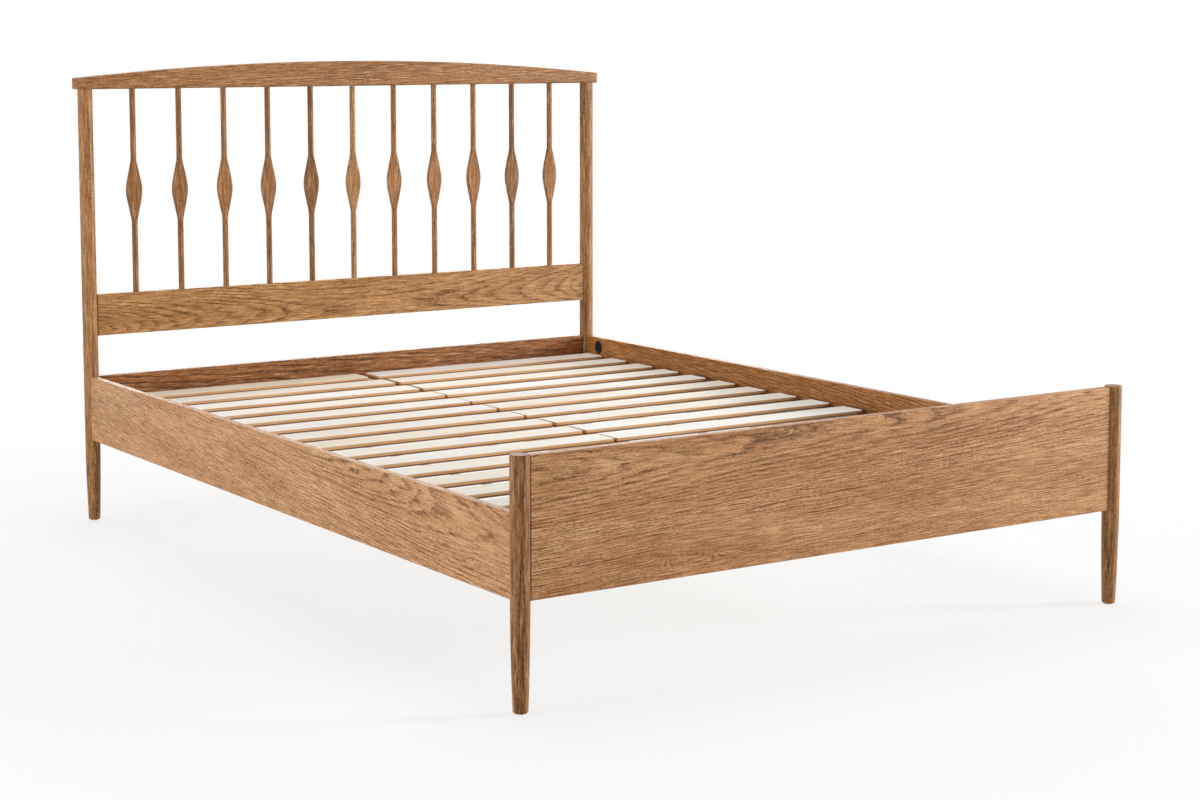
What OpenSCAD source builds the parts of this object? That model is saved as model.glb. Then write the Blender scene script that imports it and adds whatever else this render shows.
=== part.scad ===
// Spindle-back wooden bed frame on turned round posts.
// Millimetres. +X runs across the bed, +Y runs towards the headboard, +Z is up.
// The origin is on the floor at the middle of the four posts.

/* [Overall] */
// Distance across the bed between the post axes
span_x = 1400; // [1100:5:1900]
// Distance along the bed between the post axes
span_y = 1925; // [1500:5:2400]
// Height of the underside of the base boards above the floor
clear_z = 194; // [140:1:260]
// Thickness of every flat board
board_t = 18; // [15:0.5:24]
// Radius that eases the long edges of the boards
board_ease = 1.6; // [0.5:0.1:3]

/* [Posts] */
// Diameter of the turned posts above the taper
post_d = 35; // [29:0.5:45]
// Diameter of the posts where they meet the floor
foot_d = 27; // [20:0.5:29]
// How quickly the taper swells: 1 is a straight cone
taper_power = 1.8; // [1:0.1:3]
// Depth of the shallow flat on which a board end seats
seat_cut = 1.5; // [0.5:0.1:2.5]
// How far the foot posts stand above the foot panel
post_proud = 2; // [0.5:0.5:20]
// Rounding of the top edge of the foot posts
post_ease = 2; // [0.5:0.5:4]
// Diameter of the pin turned on top of the head posts
post_pin_d = 20; // [14:1:24]
// Length of the pin turned on top of the head posts
post_pin_l = 18; // [10:1:20]

/* [Base boards] */
// Height of the side rails and of the base head rail
rail_h = 150; // [120:1:190]
// Height of the foot panel
panel_h = 250; // [200:1:350]

/* [Headboard] */
// Height of the lower headboard rail above the floor
low_rail_z = 440; // [420:1:560]
// Height of the lower headboard rail itself
low_rail_h = 98; // [60:1:130]
// Open height between the lower rail and the top rail
spindle_run = 482; // [380:1:600]
// Depth of the top rail from front to back
top_rail_d = 38; // [36:0.5:60]
// Height of the top rail at the crown of its arch
crown_h = 62; // [55:1:90]
// Height of the top rail at its ends
end_h = 26; // [24:1:40]
// How far the top rail runs past the post axes
overhang = 27; // [20:1:60]
// Radius of the upright corners at the ends of the top rail
end_round = 10; // [2:0.5:16]
// Radius that eases the ends of the top rail as seen from the front
end_ease = 5; // [1:0.5:8]
// Radius that eases the long edges of the top rail
top_ease = 4; // [0.5:0.5:5]

/* [Spindles] */
// Diameter of the round rod above and below the leaf
rod_d = 14; // [11.5:0.5:16]
// Greatest width of the leaf
leaf_w = 38.6; // [28:0.1:46]
// Thickness of the leaf at its middle
leaf_t = 10.7; // [7:0.1:11.4]
// Length of the leaf
leaf_l = 143; // [100:1:200]
// Radius of the rounded middle of the leaf's outline
leaf_round = 100; // [60:5:150]
// Diameter of the pin at each end of a spindle
pin_d = 10; // [6:0.5:10.5]
// Length of the pin at each end of a spindle
pin_l = 12; // [8:0.5:14]

/* [Slats] */
// Width of a slat
slat_w = 70; // [50:1:95]
// Thickness of a slat
slat_t = 10; // [8:0.5:14]
// Depth of the slat tops below the top of the side rails
slat_recess = 46; // [30:1:52]
// Gap between the end slats and the boards at the head and the foot
slat_end_gap = 18.5; // [5:0.5:40]
// Usual gap between a slat's outer end and the side rail
slat_side_gap = 13.5; // [3:0.5:16]
// Usual gap between the two halves of a row
slat_mid_gap = 3; // [1:0.5:10]
// Radius that eases the long edges of a slat
slat_ease = 2; // [0.5:0.5:3]
// Radius of a slat's corners in plan
slat_corner = 4; // [1:0.5:10]
// Width of the tapes under the slats
tape_w = 20; // [10:1:30]
// Thickness of the tapes under the slats
tape_t = 1; // [0.6:0.1:2]

/* [Slat support] */
// Width of the ledger that carries the outer slat ends
ledger_w = 32; // [26:1:50]
// Height of the ledger
ledger_h = 30; // [20:1:34]
// Gap between a ledger's end and the posts
ledger_end_gap = 6; // [2:1:30]
// Width of the centre rail that carries the inner slat ends
mid_rail_w = 70; // [55:1:100]
// Height of the centre rail
mid_rail_h = 40; // [34:1:60]
// Diameter of the centre leg
leg_d = 46; // [36:1:60]
// Height of the centre leg's lower end above the floor
leg_z = 26; // [25:1:40]

/* [Hardware] */
// Thread diameter of the corner studs
stud_d = 6; // [5:1:6]
// Distance from a post axis to the middle of its nut pockets
pocket_y = 72; // [66:1:100]
// Diameter of the nut pockets in the side rails
pocket_d = 35; // [32:1:38]
// Distance of the nut pockets from the rail's top and bottom edges
pocket_in = 26.5; // [22:0.5:32]
// Room between a stud nut's corner and the floor of its pocket
nut_room = 0.25; // [0.1:0.05:1]
// Diameter of the joint dowels
dowel_d = 8; // [6:1:10]
// Thickness of the sheet steel in the centre rail brackets
plate_t = 2; // [1.5:0.5:3]
// Shank diameter of the wood screws
screw_d = 4; // [3:0.5:5]
// Thread diameter of the levelling foot
level_d = 10; // [8:1:12]
// Diameter of the levelling foot's pad
pad_d = 40; // [30:1:50]
// Diameter of the glides under the posts
glide_d = 20; // [16:1:20]
// How far the glides stand below the posts
glide_proud = 2; // [1:0.5:4]

/* [Fits] */
// Slack between a pin or dowel and its hole
glue_gap = 0.1; // [0.05:0.05:0.3]
// Slack around metal parts that turn or pass through
run_gap = 0.3; // [0.25:0.05:0.6]

/* [Hidden] */
SPINDLES = 11;
ROWS = 16;
function two_digits(n) = n < 10 ? str("0", n) : str(n);
function spindle_name(n) = str("spindle_", two_digits(n));
function row_name(n) = str("slat_row_", two_digits(n));

$fn = 64;
LEFT = -1;
RIGHT = 1;
FOOT = -1;
HEAD = 1;
OAK = "#c69c6d";
OAK_DEEP = "#b5814f";
OAK_GOLD = "#bd8a55";
PALE = "#f0e6cf";
PINE = "#dcc296";
STEEL = "#a9adb0";
BLACK = "#1a1a1a";

// Levels
rail_top = clear_z + rail_h;
panel_top = clear_z + panel_h;
foot_post_top = panel_top + post_proud;
low_rail_top = low_rail_z + low_rail_h;
top_rail_z = low_rail_top + spindle_run;
slat_top = rail_top - slat_recess;
slat_z = slat_top - slat_t;
mid_rail_z = slat_z - mid_rail_h;

// Plan
post_r = post_d / 2;
foot_r = foot_d / 2;
seat = post_r - seat_cut;
inner_x = span_x - board_t;
inner_y = span_y - board_t;
board_half = board_t / 2;

// The top rail's arch: a circle through both end heights and the crown
top_half = span_x / 2 + overhang;
arch_rise = crown_h - end_h;
arch_r = (top_half * top_half + arch_rise * arch_rise) / (2 * arch_rise);
ARCH_STEPS = 40;
ARCH_LEANS = [-60, -30, 0, 30, 60];
// Height of the arch above the rail's flat underside
function arch_h(x) = crown_h - arch_r + sqrt(arch_r * arch_r - x * x);

// Spindles stand at equal steps between the posts
spindle_step = span_x / (SPINDLES + 1);
rod_r = rod_d / 2;
leaf_r = leaf_w / 2;
leaf_half = leaf_l / 2;
leaf_z = top_rail_z - spindle_run / 2;
// The leaf's outline is an arc at the middle that runs into straight flares.
// Its slope t at their join solves r t^2 / 2 - half t + drop = 0.
leaf_drop = leaf_r - rod_r;
leaf_slope = (leaf_half - sqrt(leaf_half * leaf_half - 2 * leaf_round * leaf_drop)) / leaf_round;
LEAF_STEPS = 5;
// The two hollowed faces reach the rod's surface just where the leaf begins
HOLLOW_STEPS = 14;
hollow_reach = 1.1 * leaf_half;
function hollow_y(z) = leaf_t / 2 + (rod_r - leaf_t / 2) * pow(z / leaf_half, 2);

// Slats
slat_step = (inner_y - 2 * slat_end_gap - slat_w) / (ROWS - 1);
slat_first_y = inner_y / 2 - slat_end_gap - slat_w / 2;
slat_l = inner_x / 2 - slat_side_gap - slat_mid_gap / 2;
// The halves lie loose on their tapes, so each has crept a little towards the
// side rail: its share of the side gap, row by row from the head
DRIFT_LEFT = [0.85, 0.1, 0.05, -0.1, 0.0, 0.05, 0.1, 0.2, 0.15, 0.1, 0.0, 0.1, 0.05, 0.15, 0.0, 0.1];
DRIFT_RIGHT = [0.85, 0.6, 0.45, 0.2, 0.0, 0.1, 0.0, 0.1, 0.15, 0.05, 0.1, 0.0, 0.1, 0.0, 0.05, 0.1];
// The tapes cross each half at a third and at two thirds of its length
tape_at = [for (side = [LEFT, RIGHT]) for (share = [1 / 3, 2 / 3]) side * inner_x / 2 * share];

// Corner fixing: two studs and one dowel between a side rail and a post
stud_levels = [clear_z + pocket_in, rail_top - pocket_in];
side_dowel_levels = [clear_z + rail_h / 2];
stud_in_post = seat + 3;
pocket_r = pocket_d / 2;
pocket_rim = 0.8;
washer_chord = 5;
washer_flat = pocket_r - washer_chord;
nut_across = 1.66 * stud_d;
nut_r = nut_across / 2 / cos(30);
// Wood left behind a pocket, which is as deep as its nut needs
pocket_floor = board_half - nut_r - nut_room;
nut_h = 0.8 * stud_d;
stud_past_nut = 3;
stud_end = pocket_y - washer_flat + nut_h + stud_past_nut;
cap_inset = 0.5;
// The cap fills four fifths of the room between the nut and the rail's face
cap_t = 0.8 * (board_half - cap_inset - nut_r - nut_room);
washer_clear = 0.4;

// Dowels of the glued joints, kept between the studs
dowel_out = 26;
dowel_in_post = 14;
dowel_l = dowel_out + dowel_in_post;
cross_dowel_levels = [clear_z + rail_h / 3, clear_z + rail_h * 2 / 3];
panel_dowel_levels = concat(cross_dowel_levels, [panel_top - 44]);
low_rail_dowel_levels = [low_rail_z + low_rail_h / 4, low_rail_z + low_rail_h * 3 / 4];
DOWEL_CHAMFER = 0.8;

// Ledger screws
LEDGER_SCREWS = 6;
screw_bite = board_t * 2 / 3;
screw_head_r = screw_d;
screw_head_h = screw_d * 0.6;
ledger_l = span_y - 2 * (post_r + ledger_end_gap);
ledger_screw_step = (ledger_l - 120) / (LEDGER_SCREWS - 1);
ledger_screw_z = slat_z - ledger_h / 2;

// Centre rail brackets
bracket_seat_l = 40;
bracket_ear = 20;
bracket_slack = 0.2;
bracket_half = mid_rail_w / 2 + bracket_slack;
bracket_lip = 4;
bracket_screw_x = bracket_half + plate_t + bracket_ear / 2;
bracket_screw_z = [mid_rail_z + mid_rail_h * 0.25, mid_rail_z + mid_rail_h * 0.7];
mid_rail_l = inner_y - 2 * plate_t - 1;

// Centre leg and levelling foot
leg_bolt_d = 8;
leg_bolt_in = 28;
leg_ease = 2;
level_r = level_d / 2;
insert_r = level_r + 1.6;
insert_l = 20;
insert_flange_r = insert_r + 3;
insert_flange_t = 1.5;
leg_hole_l = 44;
pad_h = 8;
pad_rim = 3;
pad_floor = 3;
hex_across = 1.7 * level_d;
hex_z = 11;
hex_h = 6;
stem_top = leg_z + 30;

// Glides
glide_in = 1.5;
glide_pin_d = 2.5;
glide_pin_l = 16;
foot_ease = 1.5;

// ---- shapes that repeat ----

// Rectangle standing on the X axis with eased corners
module soft_rect(w, h, r) {
    translate([-w / 2 + r, 0]) square([w - 2 * r, h]);
    translate([-w / 2, r]) square([w, h - 2 * r]);
    for (x = [-w / 2 + r, w / 2 - r])
        for (y = [r, h - r])
            translate([x, y]) circle(r, $fn = 32);
}

// Bar along X, centred on X and Y, standing on z = 0, with eased long edges
module bar_x(l, w, h, r) {
    rotate([90, 0, 90])
        translate([0, 0, -l / 2])
            linear_extrude(l)
                soft_rect(w, h, r);
}

// The same bar along Y
module bar_y(l, w, h, r) {
    rotate(90) bar_x(l, w, h, r);
}

// Cylinders that start at the origin and run along +X, -X and +Y
module rod_x(l, d) {
    rotate([0, 90, 0]) cylinder(h = l, d = d);
}

module rod_back_x(l, d) {
    rotate([0, -90, 0]) cylinder(h = l, d = d);
}

module rod_y(l, d) {
    rotate([-90, 0, 0]) cylinder(h = l, d = d);
}

// Puts children at a post, with local +X and +Y pointing into the bed
module at_corner(side, end) {
    translate([side * span_x / 2, end * span_y / 2, 0])
        mirror([side == RIGHT ? 1 : 0, 0, 0])
            mirror([0, end == HEAD ? 1 : 0, 0])
                children();
}

module at_every_corner() {
    for (side = [LEFT, RIGHT])
        for (end = [FOOT, HEAD])
            at_corner(side, end) children();
}

// ---- posts ----

TAPER_STEPS = 10;
function taper_z(k) = glide_proud + (clear_z - glide_proud) * k / TAPER_STEPS;
function taper_r(z) =
    post_r - (post_r - foot_r) * pow((clear_z - z) / (clear_z - glide_proud), taper_power);

// Half outline of a post from its foot to the end of its taper
taper_outline = [
    [0, glide_proud],
    [taper_r(glide_proud + foot_ease) - foot_ease, glide_proud],
    [taper_r(glide_proud + foot_ease), glide_proud + foot_ease],
    for (k = [1 : TAPER_STEPS]) [taper_r(taper_z(k)), taper_z(k)]
];

module head_post_blank() {
    rotate_extrude()
        polygon(concat(taper_outline, [
            [post_r, top_rail_z],
            [post_pin_d / 2, top_rail_z],
            [post_pin_d / 2, top_rail_z + post_pin_l - 1],
            [post_pin_d / 2 - 1, top_rail_z + post_pin_l],
            [0, top_rail_z + post_pin_l]
        ]));
}

module foot_post_blank() {
    rotate_extrude()
        polygon(concat(taper_outline, [
            for (a = [0 : 22.5 : 90]) [
                post_r - post_ease + post_ease * cos(a),
                foot_post_top - post_ease + post_ease * sin(a)
            ],
            [0, foot_post_top]
        ]));
}

// Shallow flat for a board end that comes in along local X
module seat_flat(z0, z1) {
    translate([seat, -post_r, z0]) cube([post_r, post_d, z1 - z0]);
}

// Holes in a post for a board that comes in along local X
module post_dowel_holes(levels) {
    for (z = levels)
        translate([seat - dowel_in_post - glue_gap, 0, z])
            rod_x(dowel_in_post + post_r, dowel_d + 2 * glue_gap);
}

// Everything that a side rail needs in a post
module side_rail_cuts() {
    mirror([1, -1, 0]) {
        seat_flat(clear_z, rail_top);
        post_dowel_holes(side_dowel_levels);
        for (z = stud_levels)
            translate([seat - stud_in_post, 0, z])
                rod_x(stud_in_post + post_r, stud_d + 2 * glue_gap);
    }
}

module glide_hole() {
    translate([0, 0, glide_proud - 1]) cylinder(h = glide_in + 1, d = glide_d);
    cylinder(h = glide_proud + glide_pin_l, d = glide_pin_d);
}

module head_post(side) {
    color(OAK)
        at_corner(side, HEAD)
            difference() {
                head_post_blank();
                side_rail_cuts();
                seat_flat(clear_z, rail_top);
                post_dowel_holes(cross_dowel_levels);
                seat_flat(low_rail_z, low_rail_top);
                post_dowel_holes(low_rail_dowel_levels);
                glide_hole();
            }
}

module foot_post(side) {
    color(OAK)
        at_corner(side, FOOT)
            difference() {
                foot_post_blank();
                side_rail_cuts();
                seat_flat(clear_z, panel_top);
                post_dowel_holes(panel_dowel_levels);
                glide_hole();
            }
}

// ---- boards that run across the bed ----

cross_l = span_x - 2 * seat;

module cross_board(end, z0, h, dowel_levels) {
    difference() {
        translate([0, end * span_y / 2, z0]) bar_x(cross_l, board_t, h, board_ease);
        for (side = [LEFT, RIGHT])
            at_corner(side, end)
                for (z = dowel_levels)
                    translate([seat - 1, 0, z])
                        rod_x(1 + dowel_out + glue_gap, dowel_d + 2 * glue_gap);
    }
}

// Pilot holes of a centre rail bracket in the board that carries it
module bracket_pilots(end) {
    at_bracket(end)
        for (x = [-bracket_screw_x, bracket_screw_x])
            for (z = bracket_screw_z)
                translate([x, -screw_bite, z]) rod_y(screw_bite + 1, screw_d + 2 * glue_gap);
}

module base_head_rail() {
    color(OAK_DEEP)
        difference() {
            cross_board(HEAD, clear_z, rail_h, cross_dowel_levels);
            bracket_pilots(HEAD);
        }
}

module foot_panel() {
    color(OAK)
        difference() {
            cross_board(FOOT, clear_z, panel_h, panel_dowel_levels);
            bracket_pilots(FOOT);
        }
}

module at_spindles() {
    for (n = [1 : SPINDLES])
        translate([-span_x / 2 + n * spindle_step, span_y / 2, 0]) children();
}

module headboard_rail() {
    color(OAK_GOLD)
        difference() {
            cross_board(HEAD, low_rail_z, low_rail_h, low_rail_dowel_levels);
            at_spindles()
                translate([0, 0, low_rail_top - pin_l - glue_gap])
                    cylinder(h = pin_l + 1, d = pin_d + 2 * glue_gap);
        }
}

// ---- arched top rail ----

// Everything below the arch, swept at right angles to a plane that leans by this
// angle. What several leaning prisms share has its long upper edges eased.
module arch_prism(lean) {
    rise = top_ease + (top_rail_d / 2 - top_ease) * abs(sin(lean));
    rotate([90 - lean, 0, 0])
        linear_extrude(4 * crown_h, center = true)
            polygon([
                [-top_half, -2 * crown_h],
                for (k = [-ARCH_STEPS / 2 : ARCH_STEPS / 2])
                    let (x = 2 * top_half * k / ARCH_STEPS)
                    [x, rise + (arch_h(x) - top_ease) * cos(lean)],
                [top_half, -2 * crown_h]
            ]);
}

// Plan of the top rail with rounded corners, as a tall prism
module top_rail_plan() {
    translate([0, -top_rail_d / 2, -1])
        linear_extrude(crown_h + 2)
            soft_rect(2 * top_half, top_rail_d, end_round);
}

// Straight stock with eased lower edges
module top_rail_stock() {
    bar_x(2 * top_half, top_rail_d, 2 * crown_h, top_ease);
}

// Front view with eased ends, open towards the arch
module top_rail_front() {
    inner = top_half - end_ease;
    translate([0, top_rail_d, 0])
        rotate([90, 0, 0])
            linear_extrude(2 * top_rail_d) {
                soft_rect(2 * top_half, arch_h(inner), end_ease);
                translate([-inner, 0]) square([2 * inner, 2 * crown_h]);
            }
}

module top_rail() {
    color(OAK_GOLD)
        difference() {
            translate([0, span_y / 2, top_rail_z])
                intersection() {
                    intersection_for (lean = ARCH_LEANS) arch_prism(lean);
                    top_rail_plan();
                    top_rail_stock();
                    top_rail_front();
                }
            at_spindles()
                translate([0, 0, top_rail_z - 1])
                    cylinder(h = pin_l + 1 + glue_gap, d = pin_d + 2 * glue_gap);
            for (side = [LEFT, RIGHT])
                at_corner(side, HEAD)
                    translate([0, 0, top_rail_z - 1])
                        cylinder(h = post_pin_l + 1 + glue_gap, d = post_pin_d + 2 * glue_gap);
        }
}

// ---- spindles ----

// Half outline of the turned blank: pin, rod, flare, round middle and back
function leaf_arc(k) =
    let (slope = leaf_slope * k / LEAF_STEPS)
    [leaf_r - leaf_round * slope * slope / 2, leaf_round * slope];

spindle_outline = [
    [0, -spindle_run / 2 - pin_l],
    [pin_d / 2 - 0.5, -spindle_run / 2 - pin_l],
    [pin_d / 2, -spindle_run / 2 - pin_l + 0.5],
    [pin_d / 2, -spindle_run / 2],
    [rod_r, -spindle_run / 2],
    [rod_r, -leaf_half],
    for (k = [-LEAF_STEPS : LEAF_STEPS]) leaf_arc(k),
    [rod_r, leaf_half],
    [rod_r, spindle_run / 2],
    [pin_d / 2, spindle_run / 2],
    [pin_d / 2, spindle_run / 2 + pin_l - 0.5],
    [pin_d / 2 - 0.5, spindle_run / 2 + pin_l],
    [0, spindle_run / 2 + pin_l]
];

// What is planed off the bead's back to leave a long shallow hollow
module leaf_hollow() {
    rotate([90, 0, 90])
        translate([0, 0, -leaf_w])
            linear_extrude(2 * leaf_w)
                polygon([
                    [leaf_w, -hollow_reach],
                    for (k = [-HOLLOW_STEPS / 2 : HOLLOW_STEPS / 2])
                        let (z = 2 * hollow_reach * k / HOLLOW_STEPS)
                        [hollow_y(z), z],
                    [leaf_w, hollow_reach]
                ]);
}

module spindle(n) {
    color(OAK_DEEP)
        translate([-span_x / 2 + n * spindle_step, span_y / 2, leaf_z])
            difference() {
                rotate_extrude() polygon(spindle_outline);
                leaf_hollow();
                rotate(180) leaf_hollow();
            }
}

// ---- side rails and their ledgers ----

side_l = span_y - 2 * seat;

// Pocket, rim and stud hole at one level, in the corner's own axes
module stud_pocket(z) {
    translate([board_half + 1, pocket_y, z]) rod_back_x(board_t + 1 - pocket_floor, pocket_d);
    translate([board_half - pocket_rim, pocket_y, z])
        rotate([0, 90, 0])
            cylinder(h = 2 * pocket_rim, r1 = pocket_r, r2 = pocket_r + 2 * pocket_rim);
    translate([0, seat - 1, z]) rod_y(pocket_y - seat, stud_d + 2 * run_gap);
}

module ledger_screw_places(side) {
    for (k = [0 : LEDGER_SCREWS - 1])
        translate([
            side * (inner_x / 2 - ledger_w),
            (k - (LEDGER_SCREWS - 1) / 2) * ledger_screw_step,
            ledger_screw_z
        ])
            mirror([side == LEFT ? 1 : 0, 0, 0]) children();
}

module side_rail(side) {
    color(OAK)
        difference() {
            translate([side * span_x / 2, 0, clear_z]) bar_y(side_l, board_t, rail_h, board_ease);
            for (end = [FOOT, HEAD])
                at_corner(side, end) {
                    for (z = stud_levels) stud_pocket(z);
                    for (z = side_dowel_levels)
                        translate([0, seat - 1, z])
                            rod_y(1 + dowel_out + glue_gap, dowel_d + 2 * glue_gap);
                }
            ledger_screw_places(side)
                rod_x(ledger_w + screw_bite + glue_gap, screw_d + 2 * glue_gap);
        }
}

module slat_ledger(side) {
    color(PINE)
        difference() {
            translate([side * (inner_x - ledger_w) / 2, 0, slat_z - ledger_h])
                bar_y(ledger_l, ledger_w, ledger_h, board_ease);
            ledger_screw_places(side) {
                rod_x(ledger_w + 1, screw_d + 2 * glue_gap);
                translate([-screw_head_h, 0, 0])
                    rotate([0, 90, 0])
                        cylinder(
                            h = 2 * screw_head_h,
                            r1 = 2 * screw_head_r - screw_d / 2 + glue_gap,
                            r2 = screw_d / 2 + glue_gap
                        );
            }
        }
}

// Countersunk screw along +X with its face at the origin
module sunk_screw(l) {
    rotate([0, 90, 0])
        rotate_extrude($fn = 32)
            polygon([
                [0, 0],
                [screw_head_r, 0],
                [screw_d / 2, screw_head_h],
                [screw_d / 2, l - screw_d],
                [0, l]
            ]);
}

module ledger_screws() {
    color(STEEL)
        for (side = [LEFT, RIGHT])
            ledger_screw_places(side) sunk_screw(ledger_w + screw_bite);
}

// ---- slats ----

module half_slat(y, x0) {
    translate([x0 + slat_l / 2, y, slat_z])
        intersection() {
            bar_x(slat_l, slat_w, slat_t, slat_ease);
            translate([0, -slat_w / 2, -1])
                linear_extrude(slat_t + 2)
                    soft_rect(slat_l, slat_w, slat_corner);
        }
}

module slat_row(n) {
    y = slat_first_y - (n - 1) * slat_step;
    color(PALE) {
        half_slat(y, -slat_mid_gap / 2 - slat_l - DRIFT_LEFT[n - 1] * slat_side_gap);
        half_slat(y, slat_mid_gap / 2 + DRIFT_RIGHT[n - 1] * slat_side_gap);
    }
}

module slat_tapes() {
    l = slat_step * (ROWS - 1) + slat_w / 2;
    color("#efeae0")
        for (x = tape_at)
            translate([x - tape_w / 2, -l / 2, slat_z - tape_t]) cube([tape_w, l, tape_t]);
}

// ---- centre rail and its brackets ----

module centre_rail() {
    color(PINE)
        difference() {
            translate([0, 0, mid_rail_z]) bar_y(mid_rail_l, mid_rail_w, mid_rail_h, board_ease);
            translate([0, 0, mid_rail_z - 1])
                cylinder(h = leg_bolt_in + 1, d = leg_bolt_d + 2 * glue_gap);
        }
}

// Folded steel hanger with its back on y = 0 and its seat along +Y
module hanger() {
    outer = bracket_half + plate_t;
    z0 = mid_rail_z - plate_t;
    h = mid_rail_h + plate_t - bracket_lip;
    difference() {
        union() {
            translate([-outer, 0, z0]) cube([2 * outer, bracket_seat_l, plate_t]);
            for (x = [-outer, bracket_half])
                translate([x, 0, z0]) cube([plate_t, bracket_seat_l, h]);
            for (x = [-outer - bracket_ear, bracket_half])
                translate([x, 0, z0]) cube([bracket_ear + plate_t, plate_t, h]);
        }
        for (x = [-bracket_screw_x, bracket_screw_x])
            for (z = bracket_screw_z)
                translate([x, -1, z]) rod_y(plate_t + 2, screw_d + 2 * run_gap);
    }
}

module at_bracket(end) {
    translate([0, end * inner_y / 2, 0]) mirror([0, end == HEAD ? 1 : 0, 0]) children();
}

module rail_bracket(end) {
    color(STEEL) at_bracket(end) hanger();
}

// Round-headed screw along -Y whose head bears on the bracket's ear
module round_screw() {
    translate([0, plate_t, 0])
        rotate([90, 0, 0])
            rotate_extrude($fn = 32)
                polygon([
                    [0, -screw_head_h],
                    [screw_head_r * 0.6, -screw_head_h],
                    [screw_head_r, -screw_head_h * 0.3],
                    [screw_head_r, 0],
                    [screw_d / 2, 0],
                    [screw_d / 2, screw_bite - screw_d / 2],
                    [0, screw_bite + plate_t - 1]
                ]);
}

module bracket_screws() {
    color(STEEL)
        for (end = [FOOT, HEAD])
            at_bracket(end)
                for (x = [-bracket_screw_x, bracket_screw_x])
                    for (z = bracket_screw_z)
                        translate([x, 0, z]) round_screw();
}

// ---- centre leg and its levelling foot ----

module centre_leg() {
    r = leg_d / 2;
    h = mid_rail_z - leg_z;
    color(PINE)
        translate([0, 0, leg_z])
            difference() {
                rotate_extrude()
                    polygon([
                        [0, 0],
                        [r - leg_ease, 0],
                        [r, leg_ease],
                        [r, h - leg_ease],
                        [r - leg_ease, h],
                        [0, h]
                    ]);
                translate([0, 0, h - leg_bolt_in])
                    cylinder(h = leg_bolt_in + 1, d = leg_bolt_d + 2 * glue_gap);
                translate([0, 0, -1]) cylinder(h = leg_hole_l + 1, r = insert_r + glue_gap);
            }
}

module leg_bolt() {
    color(STEEL)
        translate([0, 0, mid_rail_z - leg_bolt_in])
            rotate_extrude()
                polygon([
                    [0, 0],
                    [leg_bolt_d / 2 - 1, 0],
                    [leg_bolt_d / 2, 3],
                    [leg_bolt_d / 2, 2 * leg_bolt_in - 3],
                    [leg_bolt_d / 2 - 1, 2 * leg_bolt_in],
                    [0, 2 * leg_bolt_in]
                ]);
}

module leg_insert() {
    color(STEEL)
        translate([0, 0, leg_z])
            difference() {
                union() {
                    cylinder(h = insert_l, r = insert_r);
                    translate([0, 0, -insert_flange_t])
                        cylinder(h = insert_flange_t, r = insert_flange_r);
                }
                translate([0, 0, -insert_flange_t - 1])
                    cylinder(h = insert_l + insert_flange_t + 2, r = level_r + run_gap);
            }
}

module leveller_pad() {
    color(BLACK)
        difference() {
            rotate_extrude()
                polygon([
                    [0, 0],
                    [pad_d / 2 - 0.5, 0],
                    [pad_d / 2, 0.5],
                    [pad_d / 2, pad_rim],
                    [level_r + 5, pad_h],
                    [0, pad_h]
                ]);
            translate([0, 0, pad_floor]) cylinder(h = pad_h, r = level_r + run_gap);
        }
}

module leveller_stem() {
    color(STEEL) {
        translate([0, 0, pad_floor + run_gap])
            cylinder(h = stem_top - pad_floor - run_gap, r = level_r);
        translate([0, 0, hex_z]) cylinder(h = hex_h, d = hex_across / cos(30), $fn = 6);
    }
}

// ---- corner hardware ----

module corner_studs() {
    color(STEEL)
        at_every_corner()
            for (z = stud_levels)
                translate([0, seat - stud_in_post, z])
                    rod_y(stud_end - seat + stud_in_post, stud_d);
}

// The washer's round back fits the pocket wall and its flat takes the nut
module half_moon_washer(z) {
    w = board_t - pocket_floor - cap_inset - cap_t - 2 * washer_clear;
    x0 = -board_half + pocket_floor + washer_clear;
    difference() {
        intersection() {
            translate([x0, pocket_y, z]) rod_x(w, pocket_d - 2 * glue_gap);
            translate([x0 - 1, pocket_y - pocket_r - 1, z - pocket_r])
                cube([w + 2, washer_chord + 1, pocket_d]);
        }
        translate([0, pocket_y - pocket_r - 1, z]) rod_y(washer_chord + 2, stud_d + 2 * run_gap);
    }
}

module half_moon_washers() {
    color(STEEL)
        at_every_corner()
            for (z = stud_levels) half_moon_washer(z);
}

module stud_nuts() {
    color(STEEL)
        at_every_corner()
            for (z = stud_levels)
                translate([0, pocket_y - washer_flat, z])
                    rotate([-90, 0, 0])
                        difference() {
                            cylinder(h = nut_h, r = nut_r, $fn = 6);
                            translate([0, 0, -1]) cylinder(h = nut_h + 2, d = stud_d + 2 * glue_gap);
                        }
}

// Slightly domed push-in disc, just below the face of the rail
module pocket_cap() {
    r = pocket_r - glue_gap;
    rotate([0, 90, 0])
        rotate_extrude()
            polygon([
                [0, 0],
                [r - cap_t * 0.2, 0],
                [r, cap_t * 0.2],
                [r, cap_t * 0.7],
                [r - cap_t * 0.3, cap_t * 0.95],
                [r * 0.6, cap_t],
                [0, cap_t]
            ]);
}

module pocket_caps() {
    color(BLACK)
        at_every_corner()
            for (z = stud_levels)
                translate([board_half - cap_inset - cap_t, pocket_y, z]) pocket_cap();
}

// Dowel along +X that starts at the origin
module dowel() {
    rotate([0, 90, 0])
        rotate_extrude($fn = 32)
            polygon([
                [0, 0],
                [dowel_d / 2 - DOWEL_CHAMFER, 0],
                [dowel_d / 2, DOWEL_CHAMFER],
                [dowel_d / 2, dowel_l - DOWEL_CHAMFER],
                [dowel_d / 2 - DOWEL_CHAMFER, dowel_l],
                [0, dowel_l]
            ]);
}

module dowels_at(levels) {
    for (z = levels)
        translate([seat - dowel_in_post, 0, z]) dowel();
}

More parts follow.
